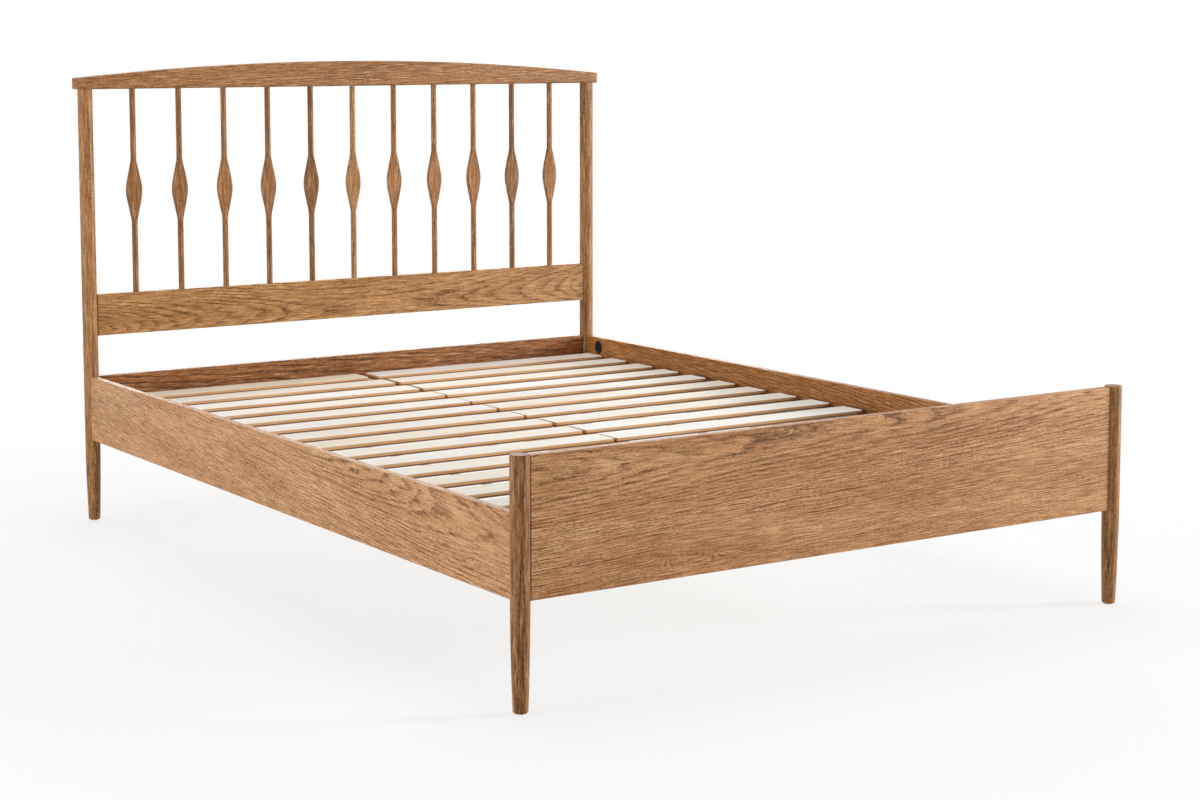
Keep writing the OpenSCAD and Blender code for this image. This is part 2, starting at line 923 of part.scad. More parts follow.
module joint_dowels() {
    color(PINE) {
        at_every_corner() mirror([1, -1, 0]) dowels_at(side_dowel_levels);
        for (side = [LEFT, RIGHT]) {
            at_corner(side, HEAD) dowels_at(concat(cross_dowel_levels, low_rail_dowel_levels));
            at_corner(side, FOOT) dowels_at(panel_dowel_levels);
        }
    }
}

// Nail-on glide: a rounded disc with its pin
module glide(side, end) {
    color("#e8e4da")
        at_corner(side, end)
            rotate_extrude()
                polygon([
                    [0, 0],
                    [glide_d / 2 - 0.8, 0],
                    [glide_d / 2, 0.8],
                    [glide_d / 2, glide_proud + glide_in],
                    [glide_pin_d / 2, glide_proud + glide_in],
                    [glide_pin_d / 2, glide_proud + glide_pin_l - 2],
                    [0, glide_proud + glide_pin_l]
                ]);
}

head_post(LEFT);  // head_post_left
head_post(RIGHT);  // head_post_right
foot_post(LEFT);  // foot_post_left
foot_post(RIGHT);  // foot_post_right
top_rail();
headboard_rail();
base_head_rail();
foot_panel();
side_rail(LEFT);  // side_rail_left
side_rail(RIGHT);  // side_rail_right
slat_ledger(LEFT);  // slat_ledger_left
slat_ledger(RIGHT);  // slat_ledger_right
for (n = [1 : SPINDLES]) spindle(n);
for (n = [1 : ROWS]) slat_row(n);
slat_tapes();
centre_rail();
rail_bracket(HEAD);  // rail_bracket_head
rail_bracket(FOOT);  // rail_bracket_foot
centre_leg();
leg_bolt();
leg_insert();
leveller_pad();
leveller_stem();
corner_studs();
half_moon_washers();
stud_nuts();
pocket_caps();
joint_dowels();
ledger_screws();
bracket_screws();
glide(LEFT, HEAD);  // glide_head_left
glide(RIGHT, HEAD);  // glide_head_right
glide(LEFT, FOOT);  // glide_foot_left
glide(RIGHT, FOOT);  // glide_foot_right
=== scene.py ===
# %% [markdown]
# # A spindle-back oak bed, finished and lit
# The bed's wood, steel and plastic parts arrive as a fixed frame, each at its real size.
# This lesson gives every part its finish, models afresh the parts whose form rewards it,
# and sets the bed on a pale studio floor. All lengths are metres. +X runs across the bed,
# +Y runs towards the headboard and +Z is up.

# %% Load the frame
import bmesh
import bpy
import math
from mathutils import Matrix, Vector


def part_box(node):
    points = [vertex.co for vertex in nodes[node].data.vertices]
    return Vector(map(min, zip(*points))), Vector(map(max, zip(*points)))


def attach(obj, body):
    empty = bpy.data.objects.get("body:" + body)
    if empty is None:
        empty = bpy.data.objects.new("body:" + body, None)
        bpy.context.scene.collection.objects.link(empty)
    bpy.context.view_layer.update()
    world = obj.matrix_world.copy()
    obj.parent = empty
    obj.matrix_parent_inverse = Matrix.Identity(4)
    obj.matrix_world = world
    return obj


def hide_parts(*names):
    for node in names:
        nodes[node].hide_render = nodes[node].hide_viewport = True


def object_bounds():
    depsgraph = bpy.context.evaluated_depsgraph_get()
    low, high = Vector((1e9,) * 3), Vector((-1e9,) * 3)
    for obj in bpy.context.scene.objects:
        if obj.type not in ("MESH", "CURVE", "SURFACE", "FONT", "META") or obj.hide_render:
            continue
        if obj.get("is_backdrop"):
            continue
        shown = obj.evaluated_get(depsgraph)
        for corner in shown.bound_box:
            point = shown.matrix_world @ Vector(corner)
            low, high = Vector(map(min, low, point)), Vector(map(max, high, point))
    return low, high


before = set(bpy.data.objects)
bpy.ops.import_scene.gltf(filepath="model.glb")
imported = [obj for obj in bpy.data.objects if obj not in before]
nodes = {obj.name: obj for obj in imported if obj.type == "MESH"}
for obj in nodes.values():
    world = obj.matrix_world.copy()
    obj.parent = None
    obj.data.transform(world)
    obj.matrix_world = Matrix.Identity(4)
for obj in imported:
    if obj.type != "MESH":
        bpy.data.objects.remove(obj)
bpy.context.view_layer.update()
MM = 0.001

# %% [markdown]
# ## Helpers for the materials
# A shader tree is a chain of small steps, so one function adds a step with its settings and
# links. In a Map Range step, inputs 1 and 2 are the range that is read, and inputs 3 and 4
# the range that is given, from 0 to 1 unless they are set. Colours are written as the sRGB
# hex values that a paint chart gives, and Blender wants linear light, so another function
# converts them.

# %% Colour and node helpers
def linear(hex_colour):
    """Turns an sRGB hex colour into linear RGBA."""
    channels = [int(hex_colour[k:k + 2], 16) / 255 for k in (1, 3, 5)]
    return [c / 12.92 if c <= 0.04045 else ((c + 0.055) / 1.055) ** 2.4 for c in channels] + [1.0]


def node(tree, kind, inputs, output=0, **settings):
    """Adds a node and gives one of its outputs.

    Each input takes another node's output to link, a hex colour, or a plain value.
    """
    made = tree.nodes.new("ShaderNode" + kind)
    for name, value in settings.items():
        setattr(made, name, value)
    for key, value in inputs.items():
        if isinstance(value, bpy.types.NodeSocket):
            tree.links.new(value, made.inputs[key])
        else:
            made.inputs[key].default_value = linear(value) if isinstance(value, str) else value
    return made.outputs[output]


def new_material(name):
    """A material whose tree holds only a Principled shader, ready for its finish."""
    material = bpy.data.materials.new(name)
    material.use_nodes = True
    tree = material.node_tree
    return material, tree, tree.nodes["Principled BSDF"]


def give(node_name, material):
    """Puts a material on a CAD node."""
    mesh = nodes[node_name].data
    mesh.materials.clear()
    mesh.materials.append(material)


print("mid grey in linear light:", round(linear("#808080")[0], 4))

# %% [markdown]
# ## Oak
# The frame is solid oak. A tree grows in rings, and each oak ring starts with a porous,
# darker band. A board shows whatever part of those rings its faces cut:
# straight lines near its edges, and long arches where the rings lie flat to the face. So the
# rings are made in the round, as wobbling cylinders about a heart that lies outside the
# board, and each board gets its own heart, lean and tones. On an end face the same solid
# pattern gives end grain.

# %% Noise drawn out along the grain
# the axes that run along the grain, across the board's face and into its depth
GRAIN = {"x": ("X", "Z", "Y"), "y": ("Y", "Z", "X"), "z": ("Z", "X", "Y")}


def stretched_noise(tree, place, scale, detail=1.0, roughness=0.5, output="Fac"):
    """Noise drawn out by its own scale along each axis, in features per metre."""
    drawn = node(tree, "VectorMath", {0: place, 1: scale}, operation="MULTIPLY")
    settings = {"Vector": drawn, "Scale": 1.0, "Detail": detail, "Roughness": roughness}
    return node(tree, "TexNoise", settings, output)


print("grain may run along", ", ".join(GRAIN))

# %% [markdown]
# ### Growth rings
# The rings are the distance from the heart of the tree, counted in years. Real rings are
# never round, so the place that is measured is first pushed about by three noises: a slow one
# over hand-widths, then quicker and smaller ones. The edge of a hidden knot is a spot where
# the rings bulge. In places the line of a ring is worn and pale.

# %% The dark band of each year
# each wobble: its features per metre along, across and deep, and how far it bends the rings
WOBBLES = (((1.5, 8, 8), 16 * MM), ((18, 60, 60), 3.5 * MM), ((60, 220, 220), 1.5 * MM))
WORN = (13, 120, 120)     # patches 77 mm long and 8 mm wide where a ring's line is pale
KNOT = (0.1, 0.032)       # how far the bulge round a knot reaches, along and across
KNOT_LIFT = 34 * MM       # how far the rings bulge at its middle


def ring_band(tree, along, across, board, heart, lean, sway, ring, seed, swirl):
    """1 in the early wood at the start of a year, fading to 0 in the late wood."""
    bent = board
    for scale, reach in WOBBLES:
        wobble = stretched_noise(tree, board, scale, 2.0, output="Color")
        swing = node(tree, "VectorMath",
                     {0: wobble, 1: (0, reach, reach), 2: (0, -reach / 2, -reach / 2)},
                     operation="MULTIPLY_ADD")
        bent = node(tree, "VectorMath", {0: bent, 1: swing})
    bent_across = node(tree, "SeparateXYZ", {0: bent}, "Y")
    bent_deep = node(tree, "SeparateXYZ", {0: bent}, "Z")

    # the heart passes outside the board, and leans and sways on its way
    heart_across = node(tree, "Math", {0: along, 1: lean[0], 2: heart[0] + seed},
                        operation="MULTIPLY_ADD")
    heart_deep = node(tree, "Math", {0: along, 1: lean[1], 2: heart[1] + seed},
                      operation="MULTIPLY_ADD")
    square = node(tree, "Math", {0: along, 1: along}, operation="MULTIPLY")
    heart_deep = node(tree, "Math", {0: square, 1: sway, 2: heart_deep}, operation="MULTIPLY_ADD")
    to_across = node(tree, "Math", {0: bent_across, 1: heart_across}, operation="SUBTRACT")
    to_deep = node(tree, "Math", {0: bent_deep, 1: heart_deep}, operation="SUBTRACT")
    flat = node(tree, "CombineXYZ", {1: to_across, 2: to_deep})
    radius = node(tree, "VectorMath", {0: flat}, "Value", operation="LENGTH")
    if swirl:
        spot = node(tree, "CombineXYZ", {0: along, 1: across})
        spot = node(tree, "VectorMath", {0: spot, 1: (*swirl, 0)}, operation="SUBTRACT")
        spot = node(tree, "VectorMath", {0: spot, 1: (1 / KNOT[0], 1 / KNOT[1], 0)},
                    operation="MULTIPLY")
        off = node(tree, "VectorMath", {0: spot}, "Value", operation="LENGTH")
        bulge = node(tree, "MapRange", {"Value": off, 1: 0.0, 2: 1.0, 3: KNOT_LIFT, 4: 0.0},
                     interpolation_type="SMOOTHSTEP")
        radius = node(tree, "Math", {0: radius, 1: bulge})

    # years are wide or narrow by chance, and each is dark at its start
    years = node(tree, "TexNoise", {"W": radius, "Scale": 0.3 / ring, "Detail": 1.0},
                 noise_dimensions="1D")
    years = node(tree, "Math", {0: years, 1: 1.5}, operation="MULTIPLY")
    count = node(tree, "Math", {0: radius, 1: 1 / ring, 2: years}, operation="MULTIPLY_ADD")
    year = node(tree, "Math", {0: count}, operation="FRACT")
    fall = node(tree, "MapRange", {"Value": year, 1: 0.06, 2: 0.42, 3: 1.0, 4: 0.0})
    rise = node(tree, "MapRange", {"Value": year, 1: 0.9, 2: 1.0})
    line = node(tree, "Math", {0: fall, 1: rise}, operation="MAXIMUM")
    worn = stretched_noise(tree, board, WORN, 2.0)
    worn = node(tree, "MapRange", {"Value": worn, 1: 0.4, 2: 0.58, 3: 0.3, 4: 0.9})
    return node(tree, "Math", {0: line, 1: worn}, operation="MULTIPLY")


print("rings wobble by up to", [round(reach / MM / 2, 2) for scale, reach in WOBBLES], "mm")

# %% [markdown]
# ### Pores
# Pores are cut vessels: short dark dashes along the grain, crowded into the early wood. They
# are about 0.3 mm wide and a few millimetres long on real oak. They are drawn 2.4 mm wide and
# 8 mm long, as coarse as they need to be to show on a bed seen whole.

# %% Pores in the early wood
PORES = (130, 420, 420)   # dashes 8 mm long and 2.4 mm wide, as features per metre
PATCHES = (4, 18, 18)     # patches 250 mm long and 56 mm wide where more of them show


def pore_dashes(tree, board, band):
    """The pores, and how much they crowd in this patch of the board."""
    patch = stretched_noise(tree, board, PATCHES, 2.0)
    crowd = node(tree, "MapRange", {"Value": patch, 1: 0.38, 2: 0.62, 3: 0.6, 4: 1.0})
    dash = stretched_noise(tree, board, PORES)
    dash = node(tree, "MapRange", {"Value": dash, 1: 0.52, 2: 0.57})
    share = node(tree, "Math", {0: band, 1: 0.6, 2: 0.4}, operation="MULTIPLY_ADD")
    pores = node(tree, "Math", {0: dash, 1: share}, operation="MULTIPLY")
    pores = node(tree, "Math", {0: pores, 1: crowd}, operation="MULTIPLY")
    return pores, crowd


print("pores are drawn", round(1000 / PORES[0], 1), "by", round(1000 / PORES[1], 1), "mm")

# %% [markdown]
# ### Satin lacquer
# A thin satin lacquer follows the wood under it. It gives a soft gloss that is a little
# duller in the pores, where it sinks in. The boards' edges are eased with sandpaper, so they
# catch a thin line of light. The Bevel step rounds them in the shading alone, which leaves
# the frame's own shapes as they are.

# %% Lacquer over eased edges
EASED = 1.0 * MM          # the radius of a sanded edge


def lacquered(tree, surface, pores, fibre):
    """Satin gloss, duller in the pores, which are sunk into the wood between its fibres."""
    dull = node(tree, "MapRange", {"Value": pores, 1: 0.0, 2: 1.0, 3: 0.45, 4: 0.65})
    tree.links.new(dull, surface.inputs["Roughness"])
    edge = node(tree, "Bevel", {"Radius": EASED}, samples=4)
    height = node(tree, "Math", {0: pores, 1: -0.8, 2: fibre}, operation="MULTIPLY_ADD")
    bump = node(tree, "Bump",
                {"Height": height, "Distance": 0.3 * MM, "Strength": 0.5, "Normal": edge})
    tree.links.new(bump, surface.inputs["Normal"])
    surface.inputs["IOR"].default_value = 1.5
    surface.inputs["Specular IOR Level"].default_value = 0.25


print("edges are eased to a radius of", EASED / MM, "mm")

# %% [markdown]
# ### Timber
# Four tones make a timber: light and warm wood, the dark of its rings and fibres, and its
# pores. The tone drifts along a board, pale flecks and dark fibres streak it, the rings shade
# it, and the pores cut into it. Where a board meets a post, a painted shade line marks the gap.

# %% Timber, cut from its own place in the log
FIBRES = (20, 320, 320)   # streaks 50 mm long and 3 mm wide, as features per metre
DRIFT = (3, 22, 22)       # slow changes of tone, 330 mm long and 45 mm wide
FLECK = "#f0c79c"         # pale flecks between the fibres
POST_GAP_SHADE = "#3a1f10"         # painted shade of the hairline gap where a board meets a post


def timber(name, grain, tones, heart, lean=(0.0, 0.0), sway=0.0, slope=0.0, ring=4.6 * MM,
           figure=1.0, seed=0.0, ends=9.0, swirl=None):
    """Lacquered timber whose grain runs along one axis.

    tones: its light and warm wood, its dark lines and its pores
    heart: where the heart of the tree lies, across and deep, from the origin
    lean: how far the heart runs across and deep for each metre along the grain
    sway: how the heart curves away in depth towards both ends
    slope: how far the fibres run off the board's edge for each metre
    ring: the width of a year's growth, of which only the bolder lines are drawn
    figure: how strongly the rings show
    seed: which part of the noise this board gets
    ends: how far out the board's ends lie, where a line of painted shade marks the gap at the
    post
    swirl: where the rings bulge round a hidden knot, along and across
    """
    material, tree, surface = new_material(name)
    place = node(tree, "TexCoord", {}, "Object")
    axes = {axis: node(tree, "SeparateXYZ", {0: place}, axis) for axis in "XYZ"}
    along, across, deep = (axes[axis] for axis in GRAIN[grain])
    sloped = node(tree, "Math", {0: along, 1: -slope, 2: across}, operation="MULTIPLY_ADD")
    board = node(tree, "CombineXYZ", {0: along, 1: sloped, 2: deep})
    board = node(tree, "VectorMath", {0: board, 1: (seed, seed, seed)})
    band = ring_band(tree, along, across, board, heart, lean, sway, ring, seed, swirl)
    pores, crowd = pore_dashes(tree, board, band)
    fibre = stretched_noise(tree, board, FIBRES, 3.0, 0.65)
    tone = stretched_noise(tree, board, DRIFT, 2.0)

    # the tone of the wood drifts, and pale flecks lie between its fibres
    drift = node(tree, "MapRange", {"Value": tone, 1: 0.3, 2: 0.7})
    base = node(tree, "Mix", {"Factor": drift, "A": tones["light"], "B": tones["warm"]},
                "Result", data_type="RGBA")
    fleck = node(tree, "MapRange", {"Value": fibre, 1: 0.48, 2: 0.3, 3: 0.0, 4: 0.45})
    base = node(tree, "Mix", {"Factor": fleck, "A": base, "B": FLECK}, "Result", data_type="RGBA")

    # rings and fibres shade it, and pores cut into it
    bold = node(tree, "Math", {0: band, 1: crowd}, operation="MULTIPLY")
    shade = node(tree, "MapRange", {"Value": fibre, 1: 0.47, 2: 0.68, 3: 0.0, 4: 0.6})
    streak = node(tree, "Math", {0: bold, 1: 0.95 * figure, 2: shade}, operation="MULTIPLY_ADD")
    base = node(tree, "Mix", {"Factor": streak, "A": base, "B": tones["dark"]},
                "Result", data_type="RGBA")
    cut_in = node(tree, "Math", {0: pores, 1: 0.85}, operation="MULTIPLY")
    base = node(tree, "Mix", {"Factor": cut_in, "A": base, "B": tones["pore"]},
                "Result", data_type="RGBA")
    # painted shade: each board darkens at its ends where it meets a post, for the shade in the
    # gap there
    reach = node(tree, "Math", {0: along}, operation="ABSOLUTE")
    post_gap_shade = node(tree, "MapRange",
                 {"Value": reach, 1: ends - 1.4 * MM, 2: ends - 0.4 * MM, 3: 0.0, 4: 0.5})
    base = node(tree, "Mix", {"Factor": post_gap_shade, "A": base, "B": POST_GAP_SHADE}, "Result", data_type="RGBA")
    tree.links.new(base, surface.inputs["Base Color"])
    lacquered(tree, surface, pores, fibre)
    return material


print("fibres are drawn", round(1000 / FIBRES[0], 1), "by", round(1000 / FIBRES[1], 1), "mm")

# %% [markdown]
# ### Boards and posts
# A maker picks boards from a stack, and no two have quite the same tone. The foot panel and
# the left rail are the palest, the rails at the head are golden or ruddy, and the posts are
# browner, with rings so wide that only a few bold lines run up each.

# %% The tones of the stack
STRAW = {"light": "#d6a06d", "warm": "#bb814d", "dark": "#6f4011", "pore": "#4c2b08"}
SAND = {"light": "#d3a072", "warm": "#be8855", "dark": "#7c4c18", "pore": "#57340b"}
AMBER = {"light": "#c0834a", "warm": "#a56b37", "dark": "#6c4013", "pore": "#4c2b08"}
GOLD = {"light": "#c2905a", "warm": "#a97742", "dark": "#6b4011", "pore": "#492a07"}
TAN = {"light": "#ad7a4a", "warm": "#946336", "dark": "#623b10", "pore": "#452807"}
BROWN = {"light": "#b47f4b", "warm": "#956637", "dark": "#5f3b10", "pore": "#3a2307"}
UMBER = {"light": "#a36c39", "warm": "#885729", "dark": "#4f2d0b", "pore": "#301b05"}
RUDDY = {"light": "#a86c37", "warm": "#8b5225", "dark": "#502a0a", "pore": "#391c04"}
NUT = {"light": "#a06c3d", "warm": "#8a582a", "dark": "#5c390f", "pore": "#412607"}
DUSK = {"light": "#936338", "warm": "#7f5127", "dark": "#55340e", "pore": "#3c2306"}
HONEY = {"light": "#af7947", "warm": "#996534", "dark": "#693f10", "pore": "#4b2b07"}
print("11 tones of oak, the palest", STRAW["light"], "and the darkest", DUSK["light"])

# %% Oak for each board and post
ACROSS_END, RAIL_END = 0.683, 0.946   # where boards across and along the bed meet the posts
BOARDS = (
    ("foot_panel", "x", STRAW, dict(heart=(0.43, -1.085), lean=(0.03, -0.02), slope=0.008,
                                    ring=3.6 * MM, figure=0.9, seed=3.0, ends=ACROSS_END,
                                    swirl=(-0.35, 0.24))),
    ("side_rail_left", "y", SAND, dict(heart=(0.42, -0.57), lean=(0.07, -0.05), slope=0.07,
                                       ring=3.8 * MM, seed=7.0, ends=RAIL_END)),
    ("side_rail_right", "y", AMBER, dict(heart=(0.12, 0.95), lean=(0.04, -0.05), seed=11.0,
                                         ends=RAIL_END)),
    ("base_head_rail", "x", RUDDY, dict(heart=(0.2, 1.3), lean=(0.02, 0.03), seed=15.0,
                                        ends=ACROSS_END)),
    ("headboard_rail", "x", GOLD, dict(heart=(0.47, 1.05), lean=(0.02, 0.01), sway=-0.09,
                                       seed=19.0, ends=ACROSS_END)),
    ("top_rail", "x", TAN, dict(heart=(1.2, 1.1), lean=(0.02, 0.05), figure=0.6, seed=23.0)),
)
for name, grain, tones, cut_from in BOARDS:
    give(name, timber("oak_" + name, grain, tones, **cut_from))
POSTS = (("head_post_left", BROWN, (-0.66, 1.02)), ("head_post_right", BROWN, (0.74, 1.0)),
         ("foot_post_left", UMBER, (-0.672, -1.01)), ("foot_post_right", BROWN, (0.64, -1.0)))
for k, (name, tones, heart) in enumerate(POSTS):
    give(name, timber("oak_" + name, "z", tones, heart, lean=(0.02, -0.02), ring=11 * MM,
                      figure=0.6, seed=27.0 + 4 * k))
print(len(BOARDS), "oak boards and", len(POSTS), "posts are dressed")

# %% [markdown]
# ## Softwood under the mattress
# The centre rail, its leg and the dowels are pale pine. It has no pores to speak of, so its
# pore tone is close to the wood's own. The ledgers are pine too, but their dark brown is painted
# shade, standing for the shadow beside the slat ends, so that they hardly show between the slats.

# %% Pine, bare and painted dark as shade
PINE = {"light": "#e3c79c", "warm": "#d8b98b", "dark": "#b5895a", "pore": "#c9a472"}
# painted shade: these dark browns stand for the shadow that lies beside the slat ends
PINE_AS_SHADE = {"light": "#4a3523", "warm": "#3c2a1b", "dark": "#2a1c12", "pore": "#1c120b"}
BARE_PINE = (("centre_rail", "y"), ("centre_leg", "z"), ("joint_dowels", "x"))
LEDGERS = ("slat_ledger_left", "slat_ledger_right")
for name, grain in BARE_PINE:
    give(name, timber("pine_" + name, grain, PINE, heart=(0.3, 0.4), figure=0.6))
# painted shade: the ledgers take this dark colour so that they read as shadow between the slats
pine_painted_as_shade = timber("pine_painted_as_shade", "y", PINE_AS_SHADE, heart=(0.3, 0.4), figure=0.6)
for name in LEDGERS:
    give(name, pine_painted_as_shade)
print(len(BARE_PINE), "nodes are bare pine and", len(LEDGERS), "are stained")

# %% [markdown]
# ## Slats
# The slats are pale softwood strips, glued up from thin layers and left bare. Their faces
# are creamy white with a faint grain. Every half-slat came from another strip, so each gets
# its own tone. The bed is divided into lanes, one to a half-slat, and the lane's own number
# picks the tone.

# %% The faces of a slat
LANE = (0.7, 0.12233, 1.0)   # a lane holds one half-slat, and its borders fall in the gaps
SLAT_GRAIN = (4, 150, 150)   # lines 250 mm long and 7 mm wide, as features per metre
SLAT_CLOUD = (3, 9, 9)       # drifts of tone, 330 mm long and 110 mm wide


def slat_face(tree, place):
    """The creamy faces, and the grain that the cut edges share with them."""
    lane = node(tree, "VectorMath", {0: place, 1: LANE}, operation="SNAP")
    own = node(tree, "TexWhiteNoise", {"Vector": lane}, "Value")
    shifted = node(tree, "VectorMath", {0: place, 1: lane})
    grain = stretched_noise(tree, shifted, SLAT_GRAIN, 3.0)
    cloud = stretched_noise(tree, shifted, SLAT_CLOUD)
    cloudy = node(tree, "MapRange", {"Value": cloud, 1: 0.35, 2: 0.65})
    cream = node(tree, "Mix", {"Factor": cloudy, "A": "#f4f2ed", "B": "#efe9dc"},
                 "Result", data_type="RGBA")
    yellow = node(tree, "MapRange", {"Value": own, 1: 0.4, 2: 1.0, 3: 0.0, 4: 0.45})
    cream = node(tree, "Mix", {"Factor": yellow, "A": cream, "B": "#e8d6b0"},
                 "Result", data_type="RGBA")
    faint = node(tree, "MapRange", {"Value": grain, 1: 0.45, 2: 0.8, 3: 0.0, 4: 0.45})
    face = node(tree, "Mix", {"Factor": faint, "A": cream, "B": "#cbb187"},
                "Result", data_type="RGBA")
    return face, grain


low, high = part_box("slat_row_01")
print("slats lie from", round(low.z / MM, 1), "to", round(high.z / MM, 1), "mm above the floor")

# %% [markdown]
# ### Cut edges
# The cut edges show the layers as tan lines, with a darker line of glue between them, and
# a band of painted shade darkens the bottom of each edge, for the shade under the slats. Every
# slat lies at the same height, so the height alone says which layer a point is in.

# %% The cut edges of a slat
LAYER = 3.3 * MM             # from one line of glue to the next
SHADE_BAND_TOP = 291.2 * MM      # the painted shade under a slat reaches up to here
FEATHER = 1.2 * MM           # and fades out over this


def slat_edge(tree, place, grain):
    """Tan layers with lines of glue between them, and painted shade along the bottom."""
    height = node(tree, "SeparateXYZ", {0: place}, "Z")
    layer = node(tree, "Math", {0: height, 1: 1 / LAYER}, operation="MULTIPLY")
    part = node(tree, "Math", {0: layer}, operation="FRACT")
    tan = node(tree, "MapRange", {"Value": grain, 1: 0.4, 2: 0.7})
    edge = node(tree, "Mix", {"Factor": tan, "A": "#e0b585", "B": "#c6935f"},
                "Result", data_type="RGBA")
    glue = node(tree, "MapRange", {"Value": part, 1: 0.0, 2: 0.3, 3: 0.6, 4: 0.0})
    edge = node(tree, "Mix", {"Factor": glue, "A": edge, "B": "#8a5c34"},
                "Result", data_type="RGBA")
    # painted shade: the bottom of every cut edge is darkened for the shade under the slats
    lowest = node(tree, "MapRange",
                  {"Value": height, 1: SHADE_BAND_TOP, 2: SHADE_BAND_TOP + FEATHER, 3: 0.9, 4: 0.0})
    return node(tree, "Mix", {"Factor": lowest, "A": edge, "B": "#5e3a1c"},
                "Result", data_type="RGBA")


print("the lowest layer is dark for", round((SHADE_BAND_TOP - low.z) / MM, 1), "mm")

# %% Bare layered slats
def slat_wood():
    """Bare layered wood: matt and creamy on its faces, with tan lines on its cut edges."""
    material, tree, surface = new_material("layered_slat_wood")
    place = node(tree, "TexCoord", {}, "Object")
    face, grain = slat_face(tree, place)
    edge = slat_edge(tree, place, grain)
    # where the surface looks up or down it is a face, and elsewhere a cut edge
    up = node(tree, "SeparateXYZ", {0: node(tree, "TexCoord", {}, "Normal")}, "Z")
    steep = node(tree, "Math", {0: up}, operation="ABSOLUTE")
    flat = node(tree, "MapRange", {"Value": steep, 1: 0.55, 2: 0.8})
    colour = node(tree, "Mix", {"Factor": flat, "A": edge, "B": face},
                  "Result", data_type="RGBA")
    tree.links.new(colour, surface.inputs["Base Color"])
    surface.inputs["Roughness"].default_value = 0.62
    surface.inputs["Specular IOR Level"].default_value = 0.3
    return material


bare_slat = slat_wood()
rows = [name for name in nodes if name.startswith("slat_row")]
for name in rows:
    give(name, bare_slat)
print(len(rows), "rows of slats are dressed")

# %% [markdown]
# ## Metal, nylon and tape
# The brackets, bolts, screws and levelling foot are bright zinc-plated steel: a cool grey
# whose gloss wanders a little from crystal to crystal. The caps and the foot's pad are
# moulded black nylon with a fine spark-eroded grain, which keeps its gloss low. The glides
# are off-white nylon with duller, scuffed patches. The tape that spaces the slats is a woven
# cotton, soft and matt, with a dotted weave.

# %% Zinc-plated steel
CRYSTALS = 330.0   # to the metre, so each is 3 mm across


def zinc_steel():
    """Bright plating: each crystal has its own tone and gloss."""
    material, tree, surface = new_material("zinc_plated_steel")
    place = node(tree, "TexCoord", {}, "Object")
    crystal = node(tree, "TexVoronoi", {"Vector": place, "Scale": CRYSTALS}, "Color")
    shine = node(tree, "SeparateXYZ", {0: crystal}, "X")
    tone = node(tree, "Mix", {"Factor": shine, "A": "#b9bdc0", "B": "#d2d4d3"},
                "Result", data_type="RGBA")
    tree.links.new(tone, surface.inputs["Base Color"])
    gloss = node(tree, "MapRange", {"Value": shine, 3: 0.28, 4: 0.42})
    tree.links.new(gloss, surface.inputs["Roughness"])
    surface.inputs["Metallic"].default_value = 1.0
    return material


zinc = zinc_steel()
STEEL = ("rail_bracket_head", "rail_bracket_foot", "leg_bolt", "leg_insert", "corner_studs",
         "half_moon_washers", "stud_nuts")
for name in STEEL:
    give(name, zinc)
print(len(STEEL), "nodes are zinc-plated")

# %% Moulded nylon
NYLON_GRAIN = 0.6 * MM   # the spark-eroded grain, drawn a little coarser than real to show
SCUFFS = 120.0           # scuffed patches to the metre, so each is 8 mm across


def nylon(name, colour, scuffed, roughness):
    """Nylon with a low, uneven gloss and a pebbled grain."""
    material, tree, surface = new_material(name)
    place = node(tree, "TexCoord", {}, "Object")
    grain = node(tree, "TexNoise", {"Vector": place, "Scale": 1 / NYLON_GRAIN, "Detail": 2.0})
    patch = node(tree, "TexNoise", {"Vector": place, "Scale": SCUFFS, "Detail": 2.0})
    worn = node(tree, "MapRange", {"Value": patch, 1: 0.4, 2: 0.7})
    tone = node(tree, "Mix", {"Factor": worn, "A": colour, "B": scuffed},
                "Result", data_type="RGBA")
    tree.links.new(tone, surface.inputs["Base Color"])
    gloss = node(tree, "MapRange",
                 {"Value": patch, 1: 0.3, 2: 0.7, 3: roughness - 0.08, 4: roughness + 0.08})
    tree.links.new(gloss, surface.inputs["Roughness"])
    bump = node(tree, "Bump", {"Height": grain, "Distance": 0.08 * MM, "Strength": 0.6})
    tree.links.new(bump, surface.inputs["Normal"])
    surface.inputs["IOR"].default_value = 1.53
    surface.inputs["Specular IOR Level"].default_value = 0.25
    return material


black = nylon("moulded_black_nylon", "#0f0f11", "#1b1b1d", 0.5)
white = nylon("moulded_white_nylon", "#e4dfd2", "#cfc8b8", 0.45)
give("leveller_pad", black)
glides = [name for name in nodes if name.startswith("glide")]
for name in glides:
    give(name, white)
print("a black pad and", len(glides), "white glides")

# %% Woven tape
THREAD = 1.6 * MM   # threads are 1 mm wide on real tape, and drawn wider so that they show
FUZZ = 900.0        # specks to the metre, about 1 mm each


